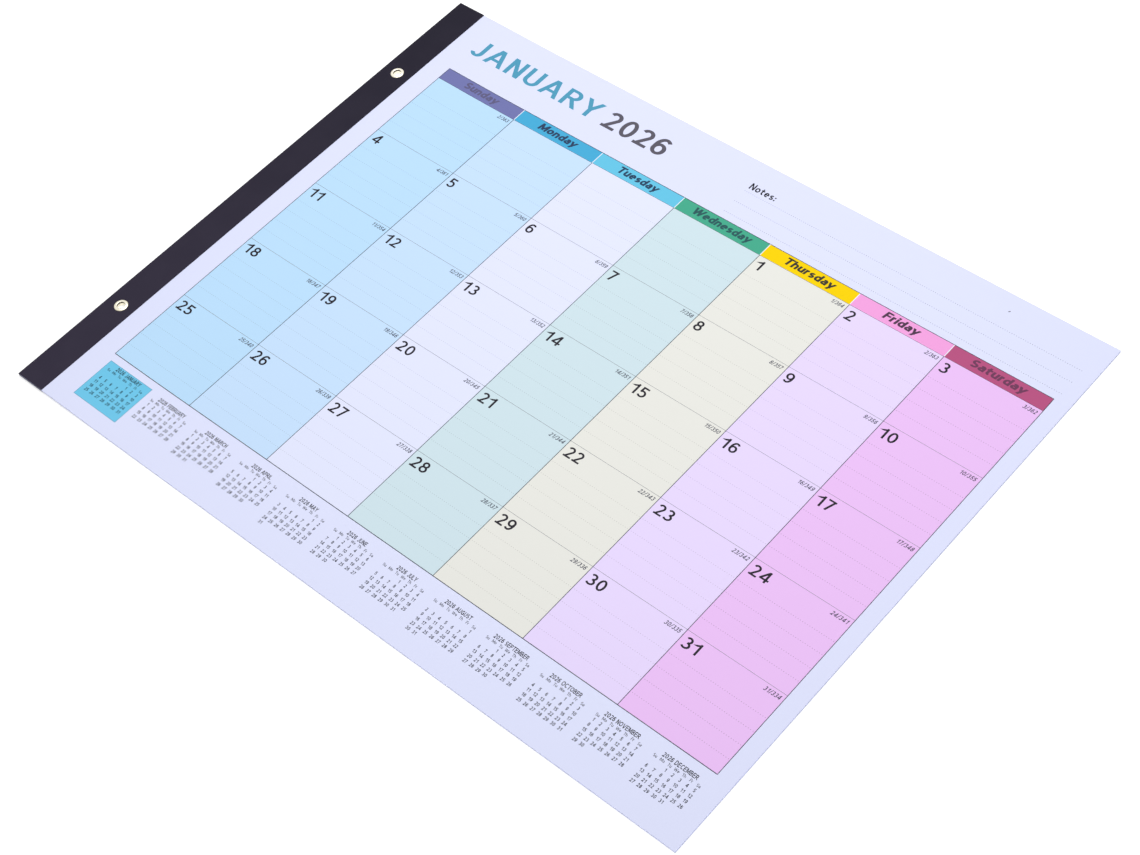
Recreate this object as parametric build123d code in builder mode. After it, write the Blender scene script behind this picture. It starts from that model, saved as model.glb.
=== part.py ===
from build123d import *
import math
import os

# A one-year wall calendar, lying on its back with the first month on top.
# Twelve loose leaves are gathered along their left edge by a folded binding strip,
# and two rolled brass eyelets go through strip and leaves and serve as hanging holes.
# +X runs along the lines of print, away from the strip. +Y runs to the head of the page.
# The origin lies under the middle of the calendar, on the surface that it rests on.
# Sizes are in millimetres.

# Leaves
page_width = 431.8      # from the folded edge of the strip to the free edge
page_height = 330.2
leaf_count = 12
leaf_thickness = 0.1
edge_play = 0.3         # most that a leaf's free edges stand back from the top leaf's
bend_length = 60.0      # where the leaves come down from the strip to the surface

# Binding strip
strip_width = 18.5
strip_thickness = 0.25
fold_radius = 0.25      # inside of the fold

# Eyelets
eyelet_inset = 9.9      # from the folded edge to the eyelets' axes
eyelet_margin = 61.9    # from the head or the foot of the page to the axes
hole_radius = 2.1
eyelet_wall = 0.2
lip_radius = 0.3        # where the hole turns into its rims
flange_width = 1.65     # from the hole to the front rim's edge
flange_rise = 0.6       # of the front rim above the strip
roll_width = 1.2        # from the hole to the back rim's edge
roll_bevel = 0.2        # that the back rim's flat stands in from its edge
roll_rise = 0.45        # of the back rim below the strip
punch_clearance = 0.05  # around the barrel

# Heights, from the surface up. The back rims of the eyelets touch it.
stack = leaf_count * leaf_thickness
strip_low = roll_rise
stack_low = strip_low + strip_thickness
stack_high = stack_low + stack
strip_high = stack_high + strip_thickness

# Places along X and Y
fold_edge = -page_width / 2
gathered_edge = fold_edge + strip_thickness + fold_radius
bend_start = fold_edge + strip_width
bend_end = bend_start + bend_length
free_edge = page_width / 2
eyelet_x = fold_edge + eyelet_inset
eyelet_y = page_height / 2 - eyelet_margin
barrel_radius = hole_radius + eyelet_wall
punch_radius = barrel_radius + punch_clearance

os.makedirs("parts", exist_ok=True)

# The bend is two equal arcs, one after the other, for the lowest face of the leaves
bend_radius = (bend_length**2 + stack_low**2) / (4 * stack_low)
bend_turn = math.degrees(math.asin(bend_length / (2 * bend_radius)))


# One face of a leaf, seen from the foot of the page. Level 0 is the lowest face of all.
def leaf_face(level, right):
    height = level * leaf_thickness
    Line((gathered_edge, stack_low + height), (bend_start, stack_low + height))
    CenterArc((bend_start, stack_low - bend_radius), bend_radius + height, 90, -bend_turn)
    CenterArc((bend_end, bend_radius), bend_radius - height, 270 - bend_turn, bend_turn)
    Line((bend_end, height), (right, height))


# The two holes that are punched for the eyelets, through strip and leaves alike
with BuildSketch() as punch:
    with Locations((eyelet_x, eyelet_y), (eyelet_x, -eyelet_y)):
        Circle(punch_radius)

# Leaves. All twelve are one solid, and their free edges are a little uneven.
with BuildPart() as month_pages:
    for leaf in range(leaf_count):
        below_top = leaf_count - 1 - leaf
        set_back = edge_play * (5 * below_top % leaf_count) / leaf_count
        right = free_edge - set_back
        with BuildSketch(Plane.XZ):
            with BuildLine():
                leaf_face(leaf, right)
                leaf_face(leaf + 1, right)
                for edge_x, foot in ((gathered_edge, stack_low), (right, 0)):
                    low = foot + leaf * leaf_thickness
                    Line((edge_x, low), (edge_x, low + leaf_thickness))
            make_face()
        extrude(amount=page_height / 2 - set_back, both=True)
    extrude(punch.sketch, amount=stack_high, mode=Mode.SUBTRACT)
month_pages.part.label = "month_pages"
export_step(month_pages.part, "parts/month_pages.step")

# Binding strip, one length of sheet folded around the leaves
with BuildPart() as binding_strip:
    low = strip_low + strip_thickness / 2
    high = strip_high - strip_thickness / 2
    left = fold_edge + strip_thickness / 2
    with BuildSketch(Plane.XZ):
        with BuildLine():
            FilletPolyline(
                (bend_start, low),
                (left, low),
                (left, high),
                (bend_start, high),
                radius=fold_radius + strip_thickness / 2,
            )
        trace(line_width=strip_thickness)
    extrude(amount=page_height / 2, both=True)
    extrude(punch.sketch, amount=strip_high, mode=Mode.SUBTRACT)
binding_strip.part.label = "binding_strip"
export_step(binding_strip.part, "parts/binding_strip.step")

# Eyelets, each turned from one section, drawn from the eyelet's axis. The front rim turns
# out of the barrel over a lip and falls to the strip. The back rim is pressed flat.
eyelets = {"eyelet_upper": eyelet_y, "eyelet_lower": -eyelet_y}
for name, place in eyelets.items():
    centre = Plane((eyelet_x, place, 0), x_dir=(1, 0, 0), z_dir=(0, -1, 0))
    with BuildPart() as eyelet:
        with BuildSketch(centre):
            with BuildLine():
                front_top = (hole_radius + lip_radius, strip_high + flange_rise)
                front = (hole_radius, strip_high + flange_rise - lip_radius)
                flange_edge = (hole_radius + flange_width, strip_high)
                roll_edge = (hole_radius + roll_width, strip_low)
                roll_flat = (hole_radius + roll_width - roll_bevel, 0)
                back_top = (hole_radius + lip_radius, 0)
                back = (hole_radius, lip_radius)
                TangentArc(front, front_top, tangent=(0, 1))
                TangentArc(front_top, flange_edge, tangent=(1, 0))
                Polyline(
                    flange_edge,
                    (barrel_radius, strip_high),
                    (barrel_radius, strip_low),
                    roll_edge,
                    roll_flat,
                    back_top,
                )
                TangentArc(back_top, back, tangent=(-1, 0))
                Line(back, front)
            make_face()
        revolve(axis=Axis(centre.origin, (0, 0, 1)))
    eyelet.part.label = name
    export_step(eyelet.part, f"parts/{name}.step")
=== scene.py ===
import math

import bmesh
import bpy
import numpy as np
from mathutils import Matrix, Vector
from mathutils.geometry import delaunay_2d_cdt


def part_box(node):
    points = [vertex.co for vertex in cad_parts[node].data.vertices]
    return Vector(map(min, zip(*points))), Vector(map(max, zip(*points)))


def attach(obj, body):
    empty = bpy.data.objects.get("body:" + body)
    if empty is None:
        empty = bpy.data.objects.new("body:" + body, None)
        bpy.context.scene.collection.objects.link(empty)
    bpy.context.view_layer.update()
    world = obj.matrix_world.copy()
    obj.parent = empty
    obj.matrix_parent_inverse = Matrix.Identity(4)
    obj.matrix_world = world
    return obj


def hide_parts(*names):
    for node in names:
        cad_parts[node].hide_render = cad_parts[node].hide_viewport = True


# A one-year wall calendar that lies on its back, open at its first month.
# Every place below is worked out in millimetres, and turned into metres as a mesh is made.
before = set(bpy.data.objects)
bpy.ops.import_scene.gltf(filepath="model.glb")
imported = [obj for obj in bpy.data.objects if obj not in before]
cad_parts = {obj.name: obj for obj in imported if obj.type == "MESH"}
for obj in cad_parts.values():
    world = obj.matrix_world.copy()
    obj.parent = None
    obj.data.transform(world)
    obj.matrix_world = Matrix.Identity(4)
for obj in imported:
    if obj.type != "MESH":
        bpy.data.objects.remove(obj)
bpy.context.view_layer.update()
metre = 0.001


def cornersOf(node):
    low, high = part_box(node)
    return np.array(low) / metre, np.array(high) / metre


leafLow, leafHigh = cornersOf("month_pages")
stripLow, stripHigh = cornersOf("binding_strip")
pageLeft, pageRight = stripLow[0], leafHigh[0]
pageFoot, pageHead = stripLow[1], stripHigh[1]
print("frame loaded, page", round(pageRight - pageLeft, 1), "by", round(pageHead - pageFoot, 1), "mm")


# Camera, at the photo's viewing angle. Solved from the printed grid and the page's corners.
cameraView = {
    "place": (540.01, -448.89, 839.79),
    "turn": (37.712, 6.761, 41.369),      # degrees about X, Y and Z
    "lens": 70.678, "sensor": 36.0,
    "clipStart": 10.0,
}
camera = bpy.data.objects.new("photoCamera", bpy.data.cameras.new("photoCamera"))
camera.data.sensor_width = cameraView["sensor"]
camera.data.lens = cameraView["lens"]
camera.data.clip_start = cameraView["clipStart"] * metre
camera.location = [c * metre for c in cameraView["place"]]
camera.rotation_euler = [math.radians(a) for a in cameraView["turn"]]
bpy.context.scene.collection.objects.link(camera)
bpy.context.scene.camera = camera
print("camera placed")


# Shader maths. A Signal wraps one output socket, so that sums and products of values read as Python.
class Signal:
    def __init__(self, finish, socket):
        self.finish, self.socket = finish, socket

    def join(self, operation, *values):
        return self.finish.node("ShaderNodeMath", {"operation": operation}, dict(enumerate(values)))

    def __add__(self, other):
        return self.join("ADD", self, other)

    def __radd__(self, other):
        return self.join("ADD", other, self)

    def __sub__(self, other):
        return self.join("SUBTRACT", self, other)

    def __rsub__(self, other):
        return self.join("SUBTRACT", other, self)

    def __mul__(self, other):
        return self.join("MULTIPLY", self, other)

    def __rmul__(self, other):
        return self.join("MULTIPLY", other, self)

    def __truediv__(self, other):
        return self.join("DIVIDE", self, other)

    def __rtruediv__(self, other):
        return self.join("DIVIDE", other, self)

    # 0 below low and 1 above high, with a smooth rise between them
    def rise(self, low, high):
        settings = {"interpolation_type": "SMOOTHSTEP"}
        values = {"Value": self, "From Min": low, "From Max": high}
        return self.finish.node("ShaderNodeMapRange", settings, values)


# One material. node() makes any node: its type, its settings, then the values or links of its sockets.
class Finish:
    def __init__(self, name, tree=None):
        if tree is None:
            self.material = bpy.data.materials.new(name)
            self.material.use_nodes = True
            tree = self.material.node_tree
        self.tree = tree

    def node(self, kind, settings=(), values=(), output=0):
        made = self.tree.nodes.new(kind)
        for setting, value in dict(settings).items():
            setattr(made, setting, value)
        for socket, value in dict(values).items():
            self.feed(made.inputs[socket], value)
        return Signal(self, made.outputs[output])

    def feed(self, socket, value):
        if isinstance(value, Signal):
            self.tree.links.new(value.socket, socket)
        else:
            socket.default_value = value

    def shade(self, **values):
        shader = self.tree.nodes["Principled BSDF"]
        for socket, value in values.items():
            self.feed(shader.inputs[socket.replace("_", " ")], value)
        return self.material

    def place(self):
        return self.node("ShaderNodeTexCoord", output="Object")

    def noise(self, place, scale, detail, stretch=None):
        if stretch:
            place = self.node("ShaderNodeMapping", {}, {"Vector": place, "Scale": stretch})
        values = {"Vector": place, "Scale": scale, "Detail": detail}
        return self.node("ShaderNodeTexNoise", {}, values, "Fac")

    def bump(self, height, depth, strength):
        values = {"Height": height, "Distance": depth, "Strength": strength}
        return self.node("ShaderNodeBump", {}, values, "Normal")

    # Mix's colour sockets are its seventh and eighth, and its colour output is the third
    def blend(self, factor, first, second):
        return self.node("ShaderNodeMix", {"data_type": "RGBA"}, {0: factor, 6: first, 7: second}, 2)

    # 1 where the camera looks straight, in a mirror or through glass, and 0 for light that is scattered
    def seenDirectly(self):
        rays = [self.node("ShaderNodeLightPath", output=f"Is {ray} Ray")
                for ray in ("Camera", "Glossy", "Transmission")]
        return rays[0] + rays[1] + rays[2]


# A colour as it is seen on a screen, from 0 to 255, as the four linear values that a socket takes, by the
# usual curve for screens
def paint(red, green, blue):
    seen = np.array([red, green, blue]) / 255.0
    linear = np.where(seen <= 0.04045, seen / 12.92, ((seen + 0.055) / 1.055) ** 2.4)
    return (*linear.tolist(), 1.0)


# Paper and ink. Ink lies in the paper's own surface, so it keeps the paper's fibres and is a little
# smoother. A noise is given by its scale, its detail and how it is stretched. It is 0.5 on average, so
# half of the most that it adds to the roughness is taken off again.
paperFeel = {
    "fibreNoise": (2100.0, 4.0, (0.45, 1, 1)),     # half a millimetre long, along the lines of print
    "cloudNoise": (70.0, 2.0),                     # the sheet's uneven density
    "roughness": 0.56, "fibreRoughness": 0.10, "cloudRoughness": 0.08, "inkSmoother": 0.07,
    "fibreBump": 0.8, "cloudBump": 2.0, "bumpDepth": 0.000012, "bumpStrength": 0.6,
    "gloss": 0.06,
}


def paperFinish(name, colour, inked):
    feel, finish = paperFeel, Finish(name)
    place = finish.place()
    fibres, clouds = finish.noise(place, *feel["fibreNoise"]), finish.noise(place, *feel["cloudNoise"])
    base = feel["roughness"] - (feel["inkSmoother"] if inked else 0.0)
    base -= (feel["fibreRoughness"] + feel["cloudRoughness"]) / 2
    roughness = clouds * feel["cloudRoughness"] + fibres * feel["fibreRoughness"] + base
    height = fibres * feel["fibreBump"] + clouds * feel["cloudBump"]
    normal = finish.bump(height, feel["bumpDepth"], feel["bumpStrength"])
    return finish.shade(Base_Color=paint(*colour), Roughness=roughness, Normal=normal,
                        Specular_IOR_Level=feel["gloss"])


# The inks and the bare paper, each with its colour. Days run from the first column to the last.
days = ["Sunday", "Monday", "Tuesday", "Wednesday", "Thursday", "Friday", "Saturday"]
dayTints = [(189, 224, 253), (200, 226, 254), (228, 232, 255), (208, 228, 236),
            (233, 233, 227), (233, 218, 255), (237, 195, 248)]
dayBars = [(116, 120, 175), (74, 173, 217), (105, 198, 231), (72, 171, 141),
           (249, 212, 0), (244, 165, 225), (184, 85, 130)]
dayWords = [(98, 95, 130), (47, 68, 98), (44, 68, 96), (47, 90, 92),
            (62, 58, 48), (80, 58, 78), (112, 62, 92)]
dotShades = {"usual": 0.82, "Saturday": 0.74}     # what a dotted rule keeps of its tint's light
inkColours = {
    "paper": (225, 229, 255),
    "boundEdgeShade": (70, 66, 84),      # the leaves' cut ends inside the strip, darkened as painted shade
    "title": (84, 158, 190),
    "titleYear": (94, 91, 103),
    "number": (42, 39, 47),
    "smallNumber": (18, 18, 24),
    "small": (62, 64, 82),
    "columnLine": (66, 70, 80),
    "rowLine": (118, 122, 130),
    "barGap": (240, 244, 255),
    "label": (36, 35, 42),
    "labelDots": (134, 138, 164),
    "monthBox": (114, 201, 236),
    "monthEdge": (84, 150, 180),
    "speck": (84, 82, 96),
}
for day, tint, barColour, wordColour in zip(days, dayTints, dayBars, dayWords):
    inkColours[day + "Tint"] = tint
    inkColours[day + "Bar"] = barColour
    inkColours[day + "Word"] = wordColour
    shade = dotShades.get(day, dotShades["usual"])
    inkColours[day + "Dots"] = tuple(int(c * shade) for c in tint)
inkNames = list(inkColours)
pageFinishes = [paperFinish("ink_" + name if name != "paper" else name, colour, name != "paper")
                for name, colour in inkColours.items()]
print("paper and inks mixed,", len(pageFinishes), "colours")


# Pen lettering. A sign is drawn with a pen of one width: how wide it is, then its strokes. Numbers are
# the middle of the pen's line, in heights of a capital. A bar starts a new stroke, and @ is an arc: middle
# x and y, half width, half height, from, to. An arc of no size marks an end inside another stroke.
penSigns = {
    "0": (0.50, "@.25,.5,.25,.5,0,360"),
    "1": (0.40, ".34,0 .34,1|.08,.79 @.34,.95,0,0,0,0"),
    "2": (0.48, "@.23,.74,.23,.26,160,-36 .07,0|0,0 .48,0"),
    "3": (0.48, "@.21,.76,.22,.24,150,-90|@.20,.26,.28,.26,90,-148"),
    "4": (0.60, ".45,0 .45,1|@.41,1,0,0,0,0 @.01,.25,0,0,0,0|.01,.22 .60,.22"),
    "5": (0.47, ".44,1 .06,1|.06,1 .04,.55|@.20,.31,.27,.31,124,-148"),
    "6": (0.48, "@.24,.30,.24,.30,0,360|0,.30 @.29,.50,.29,.50,180,48"),
    "7": (0.48, "0,1 .48,1|.45,1 .15,0"),
    "8": (0.50, "@.25,.76,.21,.24,0,360|@.25,.27,.25,.27,0,360"),
    "9": (0.48, "@.24,.70,.24,.30,0,360|.48,.70 @.19,.50,.29,.50,0,-132"),
    "/": (0.26, "0,-.06 .26,1.04"),
    " ": (0.12, ""),
    ":": (0.04, ".02,.06 .02,.08|.02,.56 .02,.58"),
    "A": (0.65, "0,0 .285,1|.65,0 .365,1|.13,.29 .52,.29"),
    "B": (0.52, "0,0 0,1|0,1 .26,1 @.26,.76,.21,.24,90,-90 0,.52|"
                "0,.52 .28,.52 @.28,.26,.24,.26,90,-90 0,0"),
    "C": (0.58, "@.34,.5,.34,.5,46,314"),
    "D": (0.60, "0,0 0,1|0,1 .22,1 @.22,.5,.38,.5,90,-90 0,0"),
    "E": (0.48, "0,0 0,1|0,1 .48,1|0,.52 .44,.52|0,0 .48,0"),
    "F": (0.42, "0,0 0,1|0,1 .42,1|0,.50 .38,.50"),
    "G": (0.64, "@.35,.5,.35,.5,46,325|.64,.12 .64,.46|.64,.46 .40,.46"),
    "H": (0.56, "0,0 0,1|.56,0 .56,1|0,.52 .56,.52"),
    "I": (0.00, "0,0 0,1"),
    "J": (0.40, ".40,1 .40,.27 @.20,.27,.20,.27,0,-158"),
    "L": (0.42, "0,1 0,0|0,0 .42,0"),
    "M": (0.74, "0,0 0,1|.05,1 .37,.10|.69,1 .37,.10|.74,0 .74,1"),
    "N": (0.53, "0,0 0,1|.05,1 .48,0|.53,0 .53,1"),
    "O": (0.72, "@.36,.5,.36,.5,0,360"),
    "P": (0.50, "0,0 0,1|0,1 .26,1 @.26,.73,.24,.27,90,-90 0,.46"),
    "R": (0.56, "0,0 0,1|0,1 .28,1 @.28,.74,.24,.26,90,-90 0,.48|.27,.48 .56,0"),
    "S": (0.50, "@.26,.745,.24,.255,38,270|@.25,.245,.26,.245,90,-142"),
    "T": (0.52, "0,1 .56,1|.28,1 .28,0"),
    "U": (0.54, "0,1 0,.29 @.27,.29,.27,.29,180,360 .54,1"),
    "V": (0.64, "0,1 .29,0|.64,1 .35,0"),
    "W": (0.96, "0,1 .23,0|.48,1 .25,0|.48,1 .71,0|.96,1 .73,0"),
    "Y": (0.56, "0,1 @.28,.42,0,0,0,0|.56,1 @.28,.42,0,0,0,0|.28,.44 .28,0"),
    "a": (0.40, ".40,0 .40,.43 @.21,.43,.19,.23,0,142|.40,.37 .19,.37 @.19,.185,.19,.185,90,270 .40,.06"),
    "d": (0.43, "@.22,.33,.22,.33,0,360|.43,0 .43,1"),
    "e": (0.43, "0,.35 .43,.35|@.22,.33,.22,.33,4,312"),
    "h": (0.41, "0,0 0,1|0,.42 @.205,.42,.205,.24,180,0 .41,0"),
    "i": (0.00, "0,0 0,.66|0,.98 0,1"),
    "n": (0.41, "0,0 0,.66|0,.42 @.205,.42,.205,.24,180,0 .41,0"),
    "o": (0.46, "@.23,.33,.23,.33,0,360"),
    "r": (0.18, "0,0 0,.66|@.21,.40,.21,.26,180,82"),
    "s": (0.36, "@.19,.50,.17,.16,40,270|@.18,.17,.19,.17,90,-140"),
    "t": (0.28, ".10,.90 .10,.18 @.26,.18,.16,.18,180,288|0,.66 .28,.66"),
    "u": (0.41, "0,.66 0,.24 @.205,.24,.205,.24,180,360|.41,.66 .41,0"),
    "y": (0.46, "0,.66 .24,0|.46,.66 .15,-.30"),
}


# The fewest points on an arc, how near two points count as one, and how much a run climbs for each step
# along before it counts as steep
leastArcPoints, repeatWithin, steepRun = 3, 1e-6, 0.6


# The middle lines of one sign, and whether each starts and ends on an arc. An arc is middle + (half width
# * cos, half height * sin) from one angle to the other, with a point about every step degrees.
def signStrokes(sign, step):
    strokes = []
    for stroke in filter(None, penSigns[sign][1].split("|")):
        runs, bent = [], []
        for token in stroke.split():
            numbers = [float(n) for n in token.lstrip("@").split(",")]
            if token[0] == "@":
                x, y, wide, high, start, end = numbers
                count = max(leastArcPoints, int(abs(end - start) / step) + 1)
                turn = np.radians(np.linspace(start, end, count))
                runs.append(np.column_stack([x + wide * np.cos(turn), y + high * np.sin(turn)]))
            else:
                runs.append(np.array([numbers]))
            bent.append(token[0] == "@")
        points = np.concatenate(runs)
        apart = np.r_[True, np.abs(np.diff(points, axis=0)).sum(1) > repeatWithin]
        strokes.append((points[apart], bent[0], bent[-1]))
    return strokes


# The pen's outline along one middle line, as one four-sided field for each run. At a joint the two sides
# are mitred. A straight end is carried on by half the pen's width, and cut level on a steep run and
# upright on any other.
def penFields(points, pen, bentStart, bentEnd):
    along = np.diff(points, axis=0)
    along /= np.linalg.norm(along, axis=1)[:, None]
    across = np.column_stack([-along[:, 1], along[:, 0]])
    closed = np.allclose(points[0], points[-1])
    before = np.vstack([across[-1:] if closed else across[:1], across])
    after = np.vstack([across, across[:1] if closed else across[-1:]])
    mitre = (before + after) / (1.0 + (before * after).sum(1))[:, None]
    left, right = points + mitre * pen / 2, points - mitre * pen / 2
    for end, way, bent in ((0, -along[0], bentStart), (-1, along[-1], bentEnd)):
        if closed or bent:
            continue
        axis = int(abs(way[1]) > steepRun * abs(way[0]))     # 1 cuts level, 0 upright
        limit = points[end][axis] + math.copysign(pen / 2, way[axis])
        for side in (left, right):
            side[end] += way * (limit - side[end][axis]) / way[axis]
    return np.stack([left[:-1], left[1:], right[1:], right[:-1]], axis=1)


# A line of lettering with its foot at y = 0 and its left edge at x = 0, in millimetres. The pen is weight
# high and broad times as wide, so upright strokes are the heavier ones. Weight and gap are in heights of a
# capital, and width, where it is given, is the whole line's.
def lettering(text, height, weight, slant=0.0, step=24.0, gap=0.13, width=None, stretch=1.0, broad=1.0):
    fields, at, pen = [], 0.0, np.array([broad, 1.0])
    for sign in text:
        for points, bentStart, bentEnd in signStrokes(sign, step):
            middle = np.column_stack([points[:, 0] + at, points[:, 1] * (1 - weight)]) / pen + weight / 2
            fields.append(penFields(middle, weight, bentStart, bentEnd) * pen)
        at += penSigns[sign][0] + weight * broad + gap
    fields = np.concatenate(fields) * height
    fields[..., 0] *= width / fields[..., 0].max() if width else stretch
    fields[..., 0] += slant * fields[..., 1]
    return fields


printed = []
smallestField = 1e-5      # square millimetres


# Prints fields of one ink on the front leaf, over those that are there. Places are in millimetres, x from
# the folded edge and y down from the head of the page.
def ink(name, fields):
    fields = np.array(fields, float)
    fields = np.stack([pageLeft + fields[..., 0], pageHead - fields[..., 1]], axis=-1)
    spokes = fields - fields.mean(1, keepdims=True)
    order = np.argsort(np.arctan2(spokes[..., 1], spokes[..., 0]), axis=1)   # anticlockwise, none crossed
    fields = np.take_along_axis(fields, order[..., None], axis=1)
    following = np.roll(fields, -1, axis=1)
    area = (fields[..., 0] * following[..., 1] - fields[..., 1] * following[..., 0]).sum(1) / 2
    printed.append((fields[area > smallestField], inkNames.index(name)))


# A rectangle of one ink, by its sides
def bar(name, left, top, right, bottom):
    ink(name, [[(left, top), (left, bottom), (right, bottom), (right, top)]])


# Lettering with its foot at y. Anchor 0 puts its left edge at x, 0.5 its middle and 1 its right edge.
def write(name, text, x, y, height, weight, anchor=0.0, **form):
    fields = lettering(text, height, weight, **form)
    wide = fields[..., 0].max()
    ink(name, np.stack([x + fields[..., 0] - anchor * wide, y - fields[..., 1]], axis=-1))


dots = {"pitch": 1.306, "radius": 0.21, "sides": 6}


# A row of dots, each a small polygon around its middle
def dotRow(name, left, right, y):
    middles = np.arange(left, right, dots["pitch"])
    turn = np.radians(np.arange(dots["sides"]) * 360 / dots["sides"])
    dot = np.column_stack([np.cos(turn), np.sin(turn)]) * dots["radius"]
    ink(name, np.stack([middles, np.full_like(middles, y)], axis=-1)[:, None, :] + dot)


# The grid of days. Lines and gaps are given by their widths, and the rules, which are dotted, by how far
# they are below the top of a cell.
grid = {
    "left": 31.47, "columnPitch": 55.923, "columns": 7,
    "top": 42.38, "barHeight": 8.81, "rowPitch": 48.061, "rows": 5,
    "columnLine": 0.36, "rowLine": 0.19, "headLine": 0.36, "footLine": 0.42,
    "barGap": 0.45, "barGapInset": 0.1,
    "rules": (14.2, 22.6, 31.0, 39.4), "ruleInsets": (1.3, 0.6),
}
columns = grid["left"] + grid["columnPitch"] * np.arange(grid["columns"] + 1)
rows = grid["top"] + grid["barHeight"] + grid["rowPitch"] * np.arange(grid["rows"] + 1)

for index, day in enumerate(days):
    bar(day + "Tint", columns[index], rows[0], columns[index + 1], rows[-1])
    bar(day + "Bar", columns[index], grid["top"], columns[index + 1], rows[0])
    ruleLeft = columns[index] + grid["ruleInsets"][0]
    ruleRight = columns[index + 1] - grid["ruleInsets"][1]
    for row in rows[:-1]:
        for rule in grid["rules"]:
            dotRow(day + "Dots", ruleLeft, ruleRight, row + rule)

for row in rows[1:-1]:
    bar("rowLine", columns[0], row - grid["rowLine"] / 2, columns[-1], row + grid["rowLine"] / 2)
for line, name in ((grid["top"], "headLine"), (rows[0], "rowLine"), (rows[-1], "footLine")):
    bar("columnLine", columns[0], line - grid[name] / 2, columns[-1], line + grid[name] / 2)
for index, line in enumerate(columns):
    top = rows[0] if 0 < index < grid["columns"] else grid["top"]
    bar("columnLine", line - grid["columnLine"] / 2, top, line + grid["columnLine"] / 2, rows[-1])
for line in columns[1:-1]:
    bar("barGap", line - grid["barGap"] / 2, grid["top"] + grid["barGapInset"],
        line + grid["barGap"] / 2, rows[0] - grid["barGapInset"])

# What the print says. Days count from Sunday, which is 0, so the year starts on a Thursday.
yearPlan = {
    "year": "2026", "firstDay": 4,
    "months": ["JANUARY", "FEBRUARY", "MARCH", "APRIL", "MAY", "JUNE", "JULY", "AUGUST",
               "SEPTEMBER", "OCTOBER", "NOVEMBER", "DECEMBER"],
    "lengths": [31, 28, 31, 30, 31, 30, 31, 31, 30, 31, 30, 31],
    "label": "Notes:",
    "firstCount": "2/363",    # stands in the first cell, which has no number
}

# The lettering of the heading and the grid. A foot is given from the head of the page, or of a cell for
# what stands in cells, and an inset from the cell's side.
words = {
    "title": {"x": 31.2, "y": 27.3, "height": 12.5, "weight": 0.15,
              "step": 10.0, "gap": 0.19, "width": 91.2, "broad": 1.28},
    "titleYear": {"x": 128.0, "y": 27.65, "height": 12.5, "weight": 0.152,
                  "step": 10.0, "gap": 0.16, "width": 41.85, "broad": 1.25},
    "label": {"x": 221.8, "y": 18.55, "height": 4.4, "weight": 0.175, "gap": 0.12},
    "day": {"foot": 48.6, "widths": (24.3, 26.3, 27.1, 37.4, 30.9, 20.8, 31.2),
            "form": {"height": 4.85, "weight": 0.21, "anchor": 0.5, "slant": 0.20,
                     "gap": 0.06, "broad": 1.15}},
    "number": {"foot": 8.7, "inset": 2.35,
               "form": {"height": 6.45, "weight": 0.148, "gap": 0.15, "stretch": 1.04, "broad": 1.15}},
    "count": {"foot": 3.85, "inset": 1.6,
              "form": {"height": 2.4, "weight": 0.165, "anchor": 1.0, "slant": 0.2, "step": 36.0,
                       "gap": 0.14, "stretch": 0.85}},
}
for index, day in enumerate(days):
    middle = (columns[index] + columns[index + 1]) / 2
    write(day + "Word", day, middle, words["day"]["foot"], width=words["day"]["widths"][index],
          **words["day"]["form"])


# The count of days gone and days left, in the upper right corner of a cell
def writeCount(text, row, column):
    count = words["count"]
    write("small", text, columns[column + 1] - count["inset"], rows[row] + count["foot"], **count["form"])


for number in range(1, yearPlan["lengths"][0] + 1):
    row, column = divmod(number - 1 + yearPlan["firstDay"], grid["columns"])
    x, y = columns[column] + words["number"]["inset"], rows[row] + words["number"]["foot"]
    write("number", str(number), x, y, **words["number"]["form"])
    writeCount(f"{number}/{sum(yearPlan['lengths']) - number}", row, column)
writeCount(yearPlan["firstCount"], 0, 0)

write("title", yearPlan["months"][0], **words["title"])
write("titleYear", yearPlan["year"], **words["titleYear"])
write("label", yearPlan["label"], **words["label"])
labelRules = {"left": 221.5, "right": 424.0, "places": (20.9, 29.3, 37.8)}
for rule in labelRules["places"]:
    dotRow("labelDots", labelRules["left"], labelRules["right"], rule)
speck = [(375.5, 10.6), (375.9, 10.8), (376.6, 10.0), (376.2, 9.7)]     # a stray touch of ink
ink("speck", [speck])

# The twelve small months at the foot, each with its heading, its row of day names and its numbers
smallMonths = {
    "firstMiddle": 48.9, "pitch": 32.66, "columnPitch": 3.99, "rowPitch": 3.12,
    "box": (33.2, 295.8, 64.6, 321.3), "boxEdge": 0.22,     # left, top, right and foot, behind the first
    "headingFoot": 299.0,
    "heading": {"height": 2.4, "weight": 0.17, "anchor": 0.5, "step": 36.0, "gap": 0.13, "stretch": 0.78},
    "dayFoot": 301.3,
    "day": {"height": 1.6, "weight": 0.13, "anchor": 0.5, "step": 45.0, "gap": 0.10},
    "numberFoot": 304.2,
    "number": {"height": 1.85, "weight": 0.17, "anchor": 0.5, "step": 45.0, "gap": 0.13, "stretch": 0.86},
}
boxLeft, boxTop, boxRight, boxFoot = smallMonths["box"]
boxEdge = smallMonths["boxEdge"]
bar("monthEdge", boxLeft, boxTop, boxRight, boxFoot)
bar("monthBox", boxLeft + boxEdge, boxTop + boxEdge, boxRight - boxEdge, boxFoot - boxEdge)
weekday = yearPlan["firstDay"]
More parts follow.
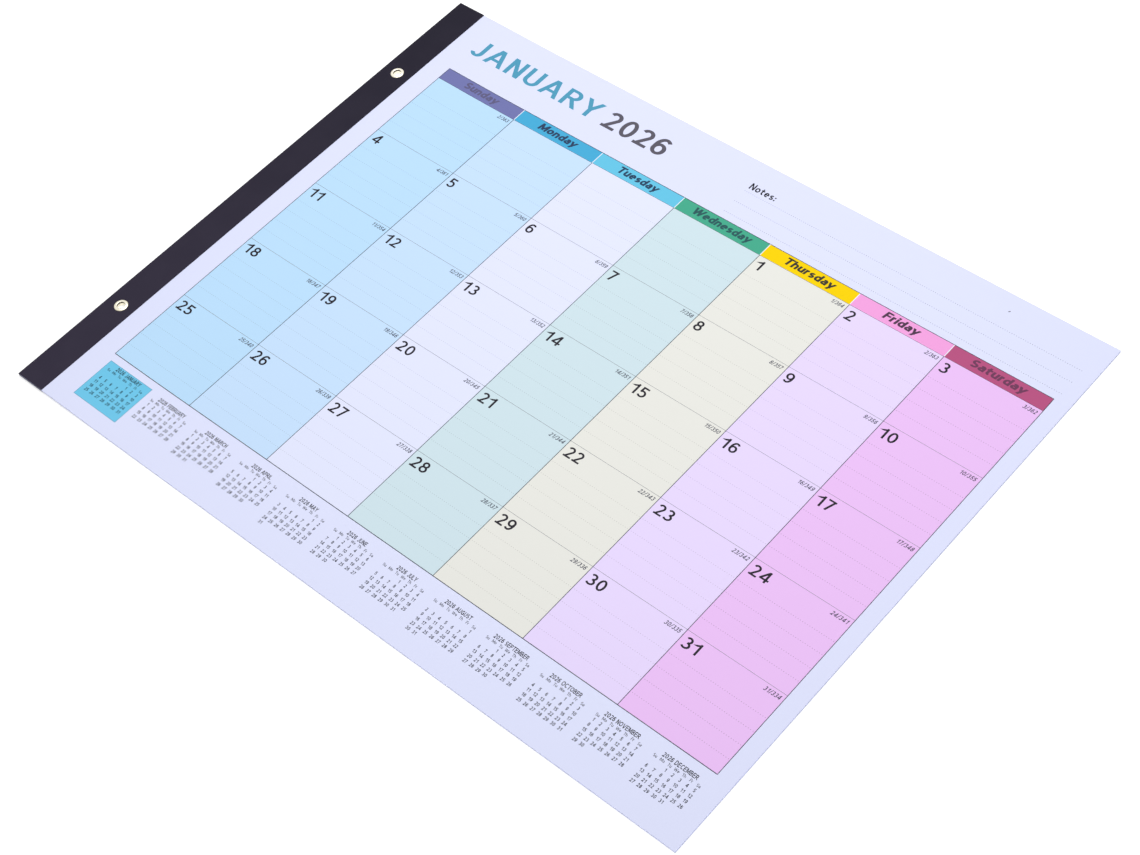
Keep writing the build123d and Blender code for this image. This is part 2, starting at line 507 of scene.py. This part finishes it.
for index, (name, length) in enumerate(zip(yearPlan["months"], yearPlan["lengths"])):
    middle = smallMonths["firstMiddle"] + smallMonths["pitch"] * index
    middles = middle + smallMonths["columnPitch"] * (np.arange(len(days)) - len(days) // 2)
    heading = yearPlan["year"] + " " + name
    write("smallNumber", heading, middle, smallMonths["headingFoot"], **smallMonths["heading"])
    for x, day in zip(middles, days):
        write("smallNumber", day[:2], x, smallMonths["dayFoot"], **smallMonths["day"])
    for number in range(1, length + 1):
        row, place = divmod(number - 1 + weekday, len(days))
        y = smallMonths["numberFoot"] + smallMonths["rowPitch"] * row
        write("smallNumber", str(number), middles[place], y, **smallMonths["number"])
    weekday = (weekday + length) % len(days)
print("print laid out,", sum(len(fields) for fields, _ in printed), "fields")


cutMerge = 1e-4       # millimetres, within which a cut sheet's points become one
wideFrom = 20.0       # the length of a rectangle that is cut in by its sides


# True for a group that is one rectangle along the page's sides, and a long one
def isWide(group):
    return group.shape == (1, 4, 2) and np.ptp(group[0], axis=0).max() > wideFrom


# Cuts a flat sheet with its holes into triangles that follow every printed field. The last field over a
# triangle gives its ink, code 0 is bare paper, and -1 is a hole. A wide rectangle's triangles are found by
# their middles, and those of any other field by the triangulation itself. Lines are only cut along, from
# end to end.
def cutSheet(outline, holes, fields, lines, points):
    around = [0, 1, 1, 2, 2, 3, 3, 0]     # the ends of a rectangle's four sides
    fields = fields + [(np.array([hole], float), -1) for hole in holes]
    edges = [np.array(outline, float)[around].reshape(-1, 2, 2), np.array(lines, float).reshape(-1, 2, 2)]
    edges += [group[:, around].reshape(-1, 2, 2) for group, _ in fields if isWide(group)]
    edges = np.concatenate(edges)
    corners, faces, ranks, start = [edges.reshape(-1, 2)], [], [], 2 * len(edges)
    for rank, (group, _) in enumerate(fields, 1):
        if not isWide(group):
            count, sides = group.shape[:2]
            faces += (start + np.arange(count * sides).reshape(count, sides)).tolist()
            ranks += [rank] * count
            start += count * sides
            corners.append(group.reshape(-1, 2))
    corners = [Vector(c) for c in np.concatenate(corners + [np.array(points).reshape(-1, 2)]).tolist()]
    pairs = np.arange(2 * len(edges)).reshape(-1, 2).tolist()
    flat, _, triangles, _, _, owners = delaunay_2d_cdt(corners, pairs, faces, 0, cutMerge, True)
    flat, triangles = np.array([v[:] for v in flat]), np.array(triangles)
    top = np.zeros(len(triangles), int)
    counts = np.array([len(o) for o in owners])
    if counts.any():
        starts = np.r_[0, np.cumsum(counts[counts > 0])[:-1]]
        owned = np.array(ranks)[np.concatenate([o for o in owners if o])]
        top[counts > 0] = np.maximum.reduceat(owned, starts)
    middles = flat[triangles].mean(1)
    for rank, (group, _) in enumerate(fields, 1):
        if isWide(group):
            inside = ((middles > group[0].min(0)) & (middles < group[0].max(0))).all(1)
            top[inside] = np.maximum(top[inside], rank)
    inks = np.array([0] + [code for _, code in fields])[top]
    return flat, triangles[inks >= 0], inks[inks >= 0]


# The edges that only one triangle has, in its own direction
def borderEdges(triangles, count):
    edges = triangles[:, [0, 1, 1, 2, 2, 0]].reshape(-1, 2)
    forward, backward = edges @ (count, 1), edges @ (1, count)
    return edges[~np.isin(forward, backward)]


# A closed skin around a cut sheet. bend(flat, side) gives the place of each point on the front, side 1,
# or on the back, side 0. The walls join the two along every border, and have the second finish, which
# paints shade on the leaves' cut ends inside the strip, where x is under the limit given last. The back may
# have fewer points.
def sheetSkin(name, outline, holes, fields, lines, points, bend, finishes,
              backPoints=None, paintedShadeTo=-math.inf):
    flat, triangles, inks = cutSheet(outline, holes, fields, lines, points)
    border = borderEdges(triangles, len(flat))
    backFlat, backTriangles = flat, triangles
    if backPoints is not None:
        backPoints = np.concatenate([flat[border].reshape(-1, 2), backPoints])
        backFlat, backTriangles, _ = cutSheet(outline, holes, [], lines, backPoints)
    places = [bend(flat, 1), bend(backFlat, 0), bend(flat[border[:, 0]], 1), bend(flat[border[:, 0]], 0),
              bend(flat[border[:, 1]], 0), bend(flat[border[:, 1]], 1)]
    starts = np.cumsum([0] + [len(p) for p in places])
    walls = starts[2:6, None].T + np.arange(len(border))[:, None]     # one four-sided wall for each edge
    loops = [triangles, backTriangles[:, ::-1] + starts[1], walls]
    # the walls inside the strip, which take the darker finish as painted shade
    paintedShadeWalls = flat[border].mean(axis=1)[:, 0] < paintedShadeTo
    codes = np.concatenate([inks, np.zeros(len(backTriangles), int), paintedShadeWalls.astype(int)])
    return fillMesh(name, np.concatenate(places), loops, codes, finishes)


joinWithin = 5e-8                 # metres, within which a mesh's points become one
sharpTurn = math.radians(30)      # between faces, from which their edge is sharp


# Puts points and faces into a mesh, and makes it a piece
def fillMesh(name, places, loops, codes, finishes):
    mesh = bpy.data.meshes.new(name)
    faces = [face for group in loops for face in group.tolist()]
    mesh.from_pydata((places * metre).tolist(), [], faces)
    mesh.polygons.foreach_set("material_index", np.array(codes, np.int32))
    for finish in finishes:
        mesh.materials.append(finish)
    work = bmesh.new()
    work.from_mesh(mesh)
    bmesh.ops.remove_doubles(work, verts=work.verts, dist=joinWithin)
    work.to_mesh(mesh)
    work.free()
    mesh.shade_smooth()
    mesh.set_sharp_from_angle(angle=sharpTurn)
    mesh.update()
    piece = bpy.data.objects.new(name, mesh)
    bpy.context.scene.collection.objects.link(piece)
    return piece


# A circle round x and y: (x + radius * cos, y + radius * sin)
def ring(x, y, radius, count):
    turn = np.linspace(0, 2 * math.pi, count, endpoint=False)
    return np.column_stack([x + radius * np.cos(turn), y + radius * np.sin(turn)])


# Every place that has one of xs and one of ys
def gridPoints(xs, ys):
    return np.stack(np.meshgrid(xs, ys, indexing="ij"), axis=-1).reshape(-1, 2)


# Lines from foot to head, so that a bend gets straight edges across it
def crossLines(xs, foot, head):
    return np.stack([np.column_stack([xs, np.full(len(xs), y)]) for y in (foot, head)], axis=1)


eyelets = {name: (cornersOf(name)[0] + cornersOf(name)[1]) / 2 for name in ("eyelet_upper", "eyelet_lower")}
leaves = {
    "count": 12, "thickness": 0.096,      # a little less than each has room for, with air between them
    "stripThickness": 0.25, "stripWidth": 18.5,
    "bendLength": 60.0, "bendRuns": 15,
    "edgePlay": 0.3, "edgeStride": 5,     # most that a leaf stands back, and how it goes from leaf to leaf
    "footLift": 0.06, "headLift": 0.03, "liftReach": 150.0,   # the free corners have risen a little in use
    "liftSpread": 1.5,                    # over 1, so the upper leaves have risen more
    "frontStep": 9.0, "step": 18.0, "rowSpan": 320.0,         # between the points inside a leaf
    "freeMargin": 2.0, "sideMargin": 4.0,                     # from those points to its edges
    "punchRadius": 2.35, "punchPoints": 48,
}
stackLow = stripLow[2] + leaves["stripThickness"]
stackHigh = stripHigh[2] - leaves["stripThickness"]
leafPitch = (stackHigh - stackLow - leaves["thickness"]) / (leaves["count"] - 1)
bendStart = pageLeft + leaves["stripWidth"]


# Height of the lowest leaf's back: level in the strip, then down to the table by two equal arcs. Their
# radius is (length^2 + drop^2) / (4 * drop), and at a distance d from its level end an arc is off that
# level by radius - sqrt(radius^2 - d^2).
def bendHeight(x):
    drop, length = stackLow, leaves["bendLength"]
    radius = (length**2 + drop**2) / (4 * drop)
    along = np.clip(x - bendStart, 0, length)
    near = np.minimum(along, length - along)
    sag = radius - np.sqrt(radius**2 - near**2)
    return np.where(along < length / 2, drop - sag, sag)


# A leaf's place. Its corners at the free edge rise by share * lift * (1 - distance / reach)^2, where share
# grows from leaf to leaf, from 0 at the lowest to 1 at the top.
def leafBend(level):
    share = (level / (leaves["count"] - 1)) ** leaves["liftSpread"]

    def bend(flat, side):
        x, y = flat[:, 0], flat[:, 1]
        z = bendHeight(x) + level * leafPitch + side * leaves["thickness"]
        for lift, cornerY in ((leaves["footLift"], pageFoot), (leaves["headLift"], pageHead)):
            far = np.hypot(x - pageRight, y - cornerY)
            z = z + share * lift * np.clip(1 - far / leaves["liftReach"], 0, 1) ** 2
        return np.column_stack([x, y, z])

    return bend


# A leaf's four corners, with its free edges set back
def leafOutline(setBack):
    right, foot, head = pageRight - setBack, pageFoot + setBack, pageHead - setBack
    return [(leafLow[0], foot), (right, foot), (right, head), (leafLow[0], head)]


holes = [ring(x, y, leaves["punchRadius"], leaves["punchPoints"]) for x, y, _ in eyelets.values()]
bendLines = np.linspace(bendStart, bendStart + leaves["bendLength"], leaves["bendRuns"] + 1)


# Rows and columns of points over a leaf's flat part
def leafPoints(setBack, step):
    right, margin = pageRight - setBack - leaves["freeMargin"], setBack + leaves["sideMargin"]
    xs = np.arange(bendStart + leaves["bendLength"] + step, right, step)
    ys = np.linspace(pageFoot + margin, pageHead - margin, int(leaves["rowSpan"] / step))
    return gridPoints(xs, ys)


# The lines across a leaf's bend
def leafLines(setBack):
    return crossLines(bendLines, pageFoot + setBack, pageHead - setBack)


top = leaves["count"] - 1
frontLeaf = sheetSkin("frontLeaf", leafOutline(0), holes, printed, leafLines(0),
                      leafPoints(0, leaves["frontStep"]), leafBend(top), pageFinishes,
                      leafPoints(0, leaves["step"]), bendStart)
print("front leaf cut,", len(frontLeaf.data.polygons), "faces")

# The leaves under it, each set back a little differently at its three free edges
lowerParts = []
for level in range(top):
    steps = leaves["edgeStride"] * (top - level) % leaves["count"]
    setBack = leaves["edgePlay"] * steps / leaves["count"]
    part = sheetSkin(f"leaf{level}", leafOutline(setBack), holes, [], leafLines(setBack),
                     leafPoints(setBack, leaves["step"]), leafBend(level), [], paintedShadeTo=bendStart)
    lowerParts.append(part)
lowerMesh = bmesh.new()
for part in lowerParts:
    lowerMesh.from_mesh(part.data)
    bpy.data.objects.remove(part)
lowerData = bpy.data.meshes.new("lowerLeaves")
lowerMesh.to_mesh(lowerData)
lowerMesh.free()
# paper, and the painted shade on the cut ends inside the strip
for finish in pageFinishes[:2]:
    lowerData.materials.append(finish)
lowerData.shade_smooth()
lowerData.set_sharp_from_angle(angle=sharpTurn)
lowerLeaves = bpy.data.objects.new("lowerLeaves", lowerData)
bpy.context.scene.collection.objects.link(lowerLeaves)
print("lower leaves cut,", len(lowerData.polygons), "faces")
for piece in (frontLeaf, lowerLeaves):
    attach(piece, "root")
    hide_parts("month_pages")


# The binding strip, one sheet folded around the leaves
strip = {
    "thickness": leaves["stripThickness"], "foldRadius": 0.25, "foldRuns": 8,
    "pucker": 0.06, "puckerRadius": 5.4, "puckerWidth": 1.3,
    "headShadeColour": (30, 27, 41), "footLitColour": (47, 42, 58),     # painted light and shade: lighter at the foot end, darker towards the head
    "scuff": (96, 90, 106), "scuffShare": 0.03, "scuffFrom": (0.3, 0.7),
    "grainNoise": (1500.0, 3.0), "waveNoise": (60.0, 2.0),
    "roughness": 0.50, "grainRoughness": 0.12, "waveRoughness": 0.10,
    "waveBump": 3.0, "bumpDepth": 0.00002, "bumpStrength": 0.7,
    "gloss": 0.08,
    "rings": (3.0, 3.8, 4.4, 5.0, 5.6, 6.2, 7.0, 8.0), "ringPoints": 40,      # round each punched hole
    "inset": 9.0, "step": 8.0, "clearOfHoles": 10.0,                          # of its other points
    "footMargin": 8.0, "headMargin": 4.0,
}
foldMiddle = strip["foldRadius"] + strip["thickness"] / 2
foldTurn = foldMiddle * math.pi / 2
stripRun = leaves["stripWidth"] - strip["thickness"] / 2 - foldMiddle
stripSide = stripHigh[2] - stripLow[2] - strip["thickness"] - 2 * foldMiddle
stripKnots = np.cumsum([0, stripRun, foldTurn, stripSide, foldTurn, stripRun])


# The strip's middle line by its length: back along the underside, a quarter turn, up, a quarter turn, and
# along the top. A point stands half the thickness off it. Round each eyelet the sheet swells outwards by
# pucker * exp(-((r - radius) / width)^2).
def stripBend(flat, side):
    s, y, knots = flat[:, 0], flat[:, 1], stripKnots
    low = stripLow[2] + strip["thickness"] / 2
    first, second = (np.clip((s - knots[i]) / foldTurn, 0, 1) for i in (1, 3))
    turn = (first + second) * math.pi / 2
    x = bendStart - np.clip(s, 0, knots[1]) - foldMiddle * np.sin(first * math.pi / 2)
    x = x + foldMiddle * (1 - np.cos(second * math.pi / 2)) + np.clip(s - knots[4], 0, None)
    z = low + foldMiddle * (1 - np.cos(first * math.pi / 2)) + np.clip(s - knots[2], 0, stripSide)
    z = z + foldMiddle * np.sin(second * math.pi / 2)
    normal = np.column_stack([-np.sin(turn), np.zeros(len(s)), -np.cos(turn)])
    swell = np.zeros(len(s))
    for eyeletX, eyeletY, _ in eyelets.values():
        far = (np.hypot(x - eyeletX, y - eyeletY) - strip["puckerRadius"]) / strip["puckerWidth"]
        swell = swell + strip["pucker"] * np.exp(-(far**2))
    flatPart = (first == 0) | (second == 1)
    out = (side - 0.5) * strip["thickness"] + swell * flatPart
    return np.column_stack([x, y, z]) + normal * out[:, None]


# Black coated sheet, with a fine grain and a few dull clouds, and painted shade that darkens it from the
# foot end towards the head
def stripFinish():
    finish = Finish("stripBlack")
    place = finish.place()
    grain, waves = finish.noise(place, *strip["grainNoise"]), finish.noise(place, *strip["waveNoise"])
    up = finish.node("ShaderNodeSeparateXYZ", {}, {0: place}, 1) / metre
    # painted light and shade: the colour runs from the lighter foot end to the darker head
    shadeTowardHead = up.rise(pageFoot, pageHead)
    colour = finish.blend(shadeTowardHead, paint(*strip["footLitColour"]), paint(*strip["headShadeColour"]))
    scuffed = waves.rise(*strip["scuffFrom"]) * strip["scuffShare"]
    colour = finish.blend(scuffed, colour, paint(*strip["scuff"]))
    base = strip["roughness"] - (strip["grainRoughness"] + strip["waveRoughness"]) / 2
    roughness = grain * strip["grainRoughness"] + waves * strip["waveRoughness"] + base
    normal = finish.bump(grain + waves * strip["waveBump"], strip["bumpDepth"], strip["bumpStrength"])
    return finish.shade(Base_Color=colour, Roughness=roughness, Normal=normal,
                        Specular_IOR_Level=strip["gloss"])


stripFlat = [(0, pageFoot), (stripKnots[-1], pageFoot), (stripKnots[-1], pageHead), (0, pageHead)]
stripHoles, stripPoints = [], []
for eyeletX, eyeletY, _ in eyelets.values():
    for s in (bendStart - eyeletX, stripKnots[-1] - (bendStart - eyeletX)):
        stripHoles.append(ring(s, eyeletY, leaves["punchRadius"], leaves["punchPoints"]))
        stripPoints += [ring(s, eyeletY, radius, strip["ringPoints"]) for radius in strip["rings"]]
folds = [np.linspace(stripKnots[i], stripKnots[i + 1], strip["foldRuns"] + 1) for i in (1, 3)]
foldLines = np.concatenate(folds)
stripXs = np.array([0, strip["inset"], stripKnots[-1] - strip["inset"], stripKnots[-1]])
stripYs = np.arange(pageFoot + strip["footMargin"], pageHead - strip["headMargin"], strip["step"])
for _, eyeletY, _ in eyelets.values():
    stripYs = stripYs[abs(stripYs - eyeletY) > strip["clearOfHoles"]]
stripPoints.append(gridPoints(stripXs, stripYs))
foldedStrip = sheetSkin("foldedStrip", stripFlat, stripHoles, [], crossLines(foldLines, pageFoot, pageHead),
                        np.concatenate(stripPoints), stripBend, [stripFinish()])
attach(foldedStrip, "root")
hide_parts("binding_strip")
print("strip folded,", len(foldedStrip.data.polygons), "faces")


# The two eyelets, turned brass with a rolled rim in front and a pressed rim behind
eyelet = {
    "hole": 2.1, "wall": 0.2, "lip": 0.3, "flangeWidth": 1.65, "flangeRise": 0.6,
    "rollWidth": 1.2, "rollBevel": 0.2,
    "flangeEase": (0.03, 0.02), "rollEase": (0.02, 0.06),     # across and up, at the rims' edges
    "domeFrom": 88,                                           # degrees, just past the lip's last point
    "lipPoints": 12, "domePoints": 16, "rollPoints": 8, "turns": 96,
    # the last colour here is painted shade for the inside of the barrel
    "colour": (252, 247, 230), "tarnish": (176, 164, 122), "boreShadeColour": (44, 37, 18),
    "stains": {"eyelet_upper": 0.15, "eyelet_lower": 0.42},   # the lower one has yellowed more
    "seat": (3.35, 3.78), "seatStain": 0.4,                   # where the front rim meets the strip
    "boreShade": (2.11, 2.20), "boreShadeHeights": (1.5, 1.8), "boreShadeShare": 0.95,     # painted shade inside the barrel, under the lip
    "ringNoise": (9.0, 2.0), "stainNoise": (900.0, 3.0),
    "roughness": 0.22, "ringRoughness": 0.10, "stainRoughness": 0.10, "seatRoughness": 0.15,
    "stainBump": 0.6, "bumpDepth": 0.00001, "bumpStrength": 0.5,
}


# Points of an ellipse's quarter, middle + (half width * cos, half height * sin)
def quarter(x, z, wide, high, start, end, count):
    turn = np.radians(np.linspace(start, end, count))
    return np.column_stack([x + wide * np.cos(turn), z + high * np.sin(turn)])


# The section (radius, height): front lip, domed rim, barrel, the back rim's edge and bevel, and back lip
def eyeletSection():
    front, under, hole = stripHigh[2], stripLow[2], eyelet["hole"]
    lip, rise, bevel = eyelet["lip"], eyelet["flangeRise"], eyelet["rollBevel"]
    barrel, crown = hole + eyelet["wall"], hole + lip
    edge, roll = hole + eyelet["flangeWidth"], hole + eyelet["rollWidth"]
    (flangeIn, flangeUp), (rollIn, rollUp) = eyelet["flangeEase"], eyelet["rollEase"]
    domeFrom, domePoints, lipPoints = eyelet["domeFrom"], eyelet["domePoints"], eyelet["lipPoints"]
    parts = [
        quarter(crown, front + rise - lip, lip, lip, 180, 90, lipPoints),
        quarter(crown, front + flangeUp, edge - crown, rise - flangeUp, domeFrom, 0, domePoints),
        [(edge - flangeIn, front), (barrel, front), (barrel, under)],
        [(roll - rollIn, under), (roll, under - rollUp)],
        quarter(roll - bevel, bevel, bevel, bevel, 0, -90, eyelet["rollPoints"]),
        quarter(crown, lip, lip, lip, 270, 180, lipPoints),
    ]
    return np.concatenate([np.array(p, float) for p in parts])


# Carries the section round an upright line: (x + radius * cos, y + radius * sin, height)
def turned(name, section, x, y, count, finishes):
    turn = np.linspace(0, 2 * math.pi, count, endpoint=False)
    radius, height = section[:, 0][:, None], np.repeat(section[:, 1][:, None], count, axis=1)
    places = np.stack([x + radius * np.cos(turn), y + radius * np.sin(turn), height], axis=-1)
    i, j = np.meshgrid(np.arange(len(section)), np.arange(count), indexing="ij")
    nextI, nextJ = (i + 1) % len(section), (j + 1) % count
    corners = [i * count + j, nextI * count + j, nextI * count + nextJ, i * count + nextJ]
    quads = np.stack(corners, axis=-1).reshape(-1, 4)
    return fillMesh(name, places.reshape(-1, 3), [quads], np.zeros(len(quads)), finishes)


# Brass, turned in rings, tarnished at its seat, with painted shade inside the barrel under the lip. Places
# are taken from its axis.
def brassFinish(name, x, y, stained):
    look, finish = eyelet, Finish(name)
    place = finish.place()
    across, up, height = [finish.node("ShaderNodeSeparateXYZ", {}, {0: place}, axis) / metre
                          for axis in range(3)]
    across, up = across - x, up - y
    squares = across * across + up * up
    radius = squares.join("SQRT", squares)
    ringPlace = finish.node("ShaderNodeCombineXYZ", {}, {0: radius, 2: height})
    rings, stains = finish.noise(ringPlace, *look["ringNoise"]), finish.noise(place, *look["stainNoise"])
    seat = radius.rise(*look["seat"])
    # painted shade: the barrel's inner wall is darkened under the lip, where shade falls
    boreShade = (1 - radius.rise(*look["boreShade"])) * height.rise(*look["boreShadeHeights"])
    tarnished = seat * look["seatStain"] + stains * stained
    colour = finish.blend(tarnished, paint(*look["colour"]), paint(*look["tarnish"]))
    colour = finish.blend(boreShade * look["boreShadeShare"], colour, paint(*look["boreShadeColour"]))
    base = look["roughness"] - (look["ringRoughness"] + look["stainRoughness"]) / 2
    roughness = rings * look["ringRoughness"] + stains * look["stainRoughness"]
    roughness = roughness + seat * look["seatRoughness"] + base
    normal = finish.bump(rings + stains * look["stainBump"], look["bumpDepth"], look["bumpStrength"])
    return finish.shade(Base_Color=colour, Roughness=roughness, Normal=normal, Metallic=1.0)


for node, pieceName in (("eyelet_upper", "eyeletUpper"), ("eyelet_lower", "eyeletLower")):
    x, y, _ = eyelets[node]
    finish = brassFinish("brass_" + pieceName, x, y, eyelet["stains"][node])
    piece = turned(pieceName, eyeletSection(), x, y, eyelet["turns"], [finish])
    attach(piece, "root")
    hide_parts(node)
print("eyelets turned")


# Floor and light, in metres. The floor glows only where it is seen directly, and most far out, where the
# lamps' light fades, so it looks white all over.
white, black = (1, 1, 1, 1), (0, 0, 0, 1)
studio = {
    "floorReach": 3.0, "floorBelow": 0.00002, "floorGrey": 0.80, "floorRoughness": 0.9,
    "floorGlow": 0.50, "glowGrows": (0.7, 2.2),
    "worldLevel": 0.35,
    "lamps": {                # place, size, watts, and whether it shows as a highlight
        "keyLamp": ((-0.105, 0.249, 0.974), 0.9, 8.0, True),
        "fillLamp": ((2.1, -2.1, 0.5), 0.9, 42.0, False),   # low, for the page's edges
    },
}
scene = bpy.context.scene
scene.view_settings.view_transform = "Standard"

reach, below = studio["floorReach"], -studio["floorBelow"]
floorMesh = bpy.data.meshes.new("floor")
floorCorners = [(-reach, -reach, below), (reach, -reach, below),
                (reach, reach, below), (-reach, reach, below)]
floorMesh.from_pydata(floorCorners, [], [(0, 1, 2, 3)])
floor = bpy.data.objects.new("floor", floorMesh)
scene.collection.objects.link(floor)
floorFinish = Finish("floorWhite")
floorColour, nearGlow = [(level, level, level, 1) for level in (studio["floorGrey"], studio["floorGlow"])]
far = floorFinish.node("ShaderNodeVectorMath", {"operation": "LENGTH"}, {0: floorFinish.place()}, "Value")
glow = floorFinish.blend(far.rise(*studio["glowGrows"]), nearGlow, white)
glow = floorFinish.blend(floorFinish.seenDirectly(), black, glow)
floorFinish.shade(Base_Color=floorColour, Roughness=studio["floorRoughness"], Specular_IOR_Level=0.0,
                  Emission_Color=glow, Emission_Strength=1.0)
floorMesh.materials.append(floorFinish.material)

# The world lights the object at its own level, and looks white where it is seen
world = bpy.data.worlds.new("studioWorld")
scene.world = world
world.use_nodes = True
sky = Finish("studioWorld", world.node_tree)
background = world.node_tree.nodes["Background"].inputs
sky.feed(background["Strength"], sky.seenDirectly() * (1 - studio["worldLevel"]) + studio["worldLevel"])
sky.feed(background["Color"], white)

for name, (place, size, watts, highlight) in studio["lamps"].items():
    lampData = bpy.data.lights.new(name, "AREA")
    lampData.shape = "SQUARE"
    lampData.size = size
    lampData.energy = watts
    lamp = bpy.data.objects.new(name, lampData)
    lamp.visible_glossy = highlight
    lamp.location = place
    lamp.rotation_euler = (-Vector(place)).to_track_quat("-Z", "Y").to_euler()
    scene.collection.objects.link(lamp)
print("studio lit")
